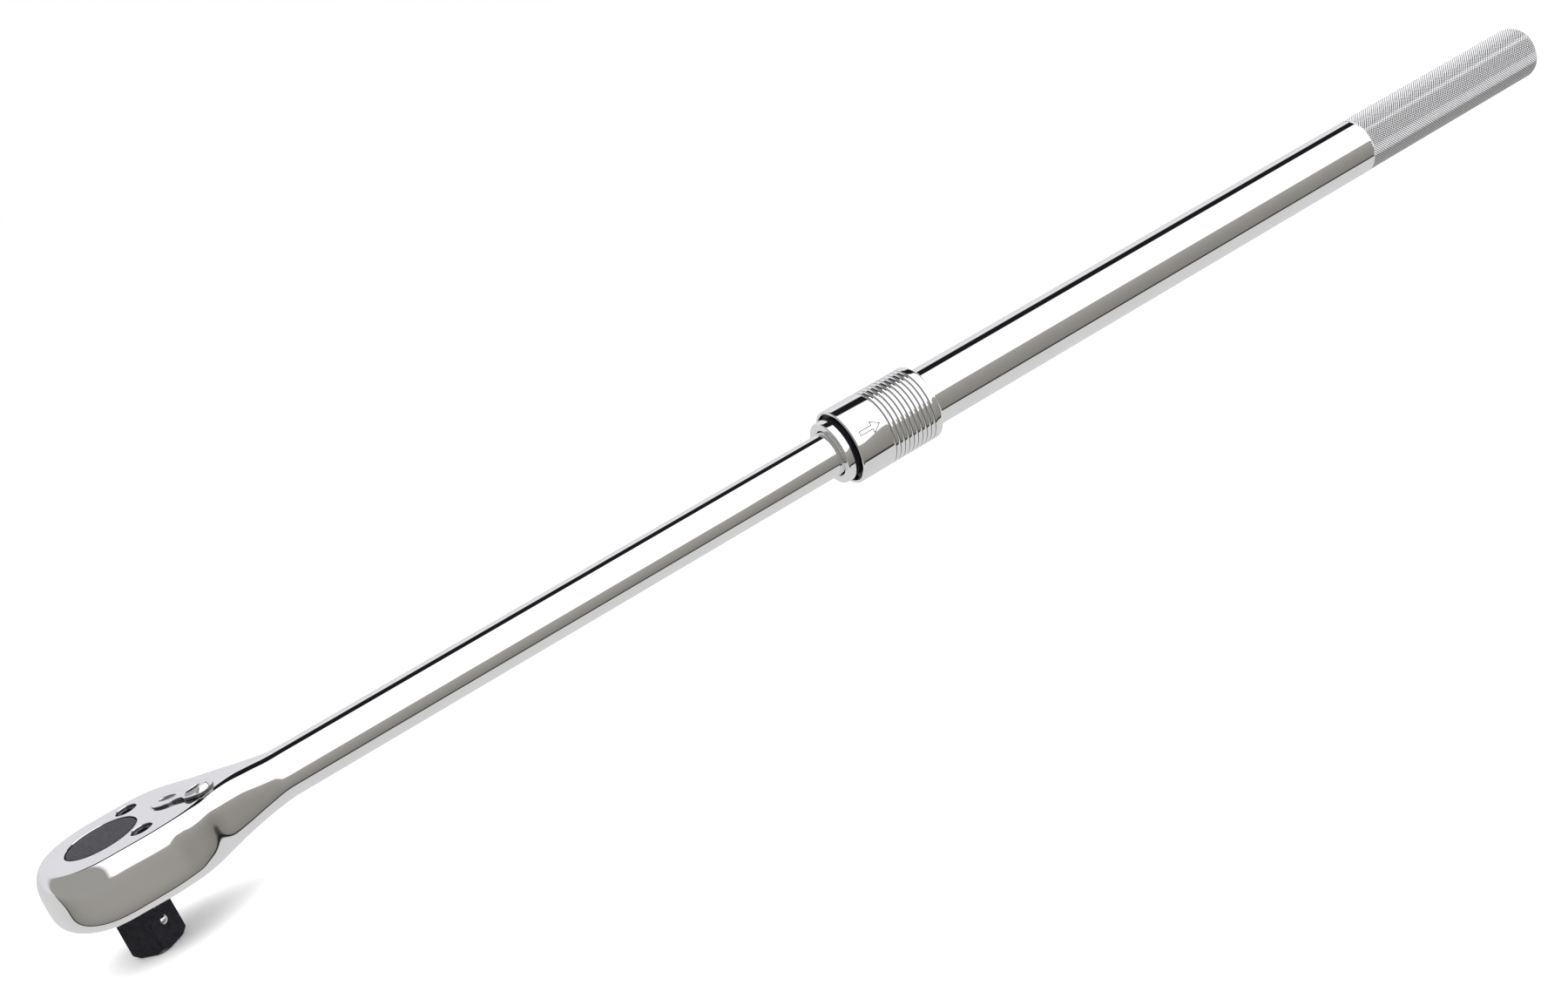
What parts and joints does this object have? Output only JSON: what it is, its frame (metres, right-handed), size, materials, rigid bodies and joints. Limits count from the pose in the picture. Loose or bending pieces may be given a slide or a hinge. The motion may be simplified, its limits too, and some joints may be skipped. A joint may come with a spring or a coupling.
{
  "type": "telescopic ratchet handle",
  "caption": "Long pear-head ratchet handle with a square drive, reversing lever and a sliding outer tube with a lock sleeve and knurled grip.",
  "frame": {"origin": "centre of the drive square's end face, on the drive axis", "axes": "+X along the bar from the head to the grip end; +Z out of the head's top face, where the reversing lever is; the drive square points to -Z"},
  "size_m": [0.9849, 0.0712, 0.0631],
  "materials": {
    "chrome": "mirror-polished chrome plate on forged steel",
    "black_oxide": "satin black oxide on hardened steel",
    "bright_steel": "ground and polished bearing steel",
    "spring_steel": "drawn spring wire, lightly oiled",
    "seal_rubber": "black nitrile rubber",
    "guide_bronze": "turned bronze"
  },
  "bodies": {
    "head": {"head_forging": "chrome", "cover_plate": "black_oxide", "cover_screw_near": "black_oxide", "cover_screw_far": "black_oxide", "bar_guide_collar": "guide_bronze", "bar_end_ring": "bright_steel"},
    "drive": {"drive_gear": "black_oxide", "detent_spring": "spring_steel"},
    "detent": {"detent_ball": "bright_steel"},
    "lever": {"reverse_lever": "chrome", "lever_o_ring": "seal_rubber", "lever_clip": "bright_steel", "plunger_spring": "spring_steel"},
    "plunger": {"lever_plunger": "bright_steel"},
    "pawl": {"pawl": "black_oxide"},
    "handle": {"outer_tube": "chrome", "nose_bush": "chrome", "front_snap_ring": "black_oxide", "spring_stop_ring": "bright_steel", "end_plug": "chrome", "sleeve_spring": "spring_steel"},
    "sleeve": {"lock_sleeve": "chrome"},
    "lock": {"lock_ball": "bright_steel"}
  },
  "joints": [
    {"name": "drive_spin", "type": "hinge", "parent": "head", "child": "drive", "pos_m": [0, 0, 0.0416], "axis": [0, 0, 1], "continuous": true},
    {"name": "detent_press", "type": "slide", "parent": "drive", "child": "detent", "axis": [-0.66, 0.7513, 0], "range_m": [0, 0.0009], "stiffness_N_per_m": 1500, "deforming": ["detent_spring"]},
    {"name": "lever_turn", "type": "hinge", "parent": "head", "child": "lever", "pos_m": [0.0333, 0, 0.0416], "axis": [0, 0, 1], "range_deg": [0, 84]},
    {"name": "pawl_shift", "type": "hinge", "parent": "head", "child": "pawl", "pos_m": [0, 0, 0.0416], "axis": [0, 0, 1], "range_deg": [-16, 0]},
    {"name": "plunger_press", "type": "slide", "parent": "lever", "child": "plunger", "axis": [0.7431, -0.6691, 0], "range_m": [0, 0.001], "stiffness_N_per_m": 500, "deforming": ["plunger_spring"]},
    {"name": "handle_slide", "type": "slide", "parent": "head", "child": "handle", "axis": [1, 0, 0], "range_m": [-0.3048, 0.0254]},
    {"name": "sleeve_lock", "type": "slide", "parent": "handle", "child": "sleeve", "axis": [1, 0, 0], "range_m": [-0.005, 0], "deforming": ["sleeve_spring"]},
    {"name": "ball_engage", "type": "slide", "parent": "handle", "child": "lock", "axis": [0, 0, 1], "range_m": [0, 0.0016]}
  ],
  "couplings": [
    {"joint": "pawl_shift", "follows": "lever_turn", "ratio": -0.19048},
    {"joint": "ball_engage", "follows": "sleeve_lock", "ratio": -0.32}
  ]
}
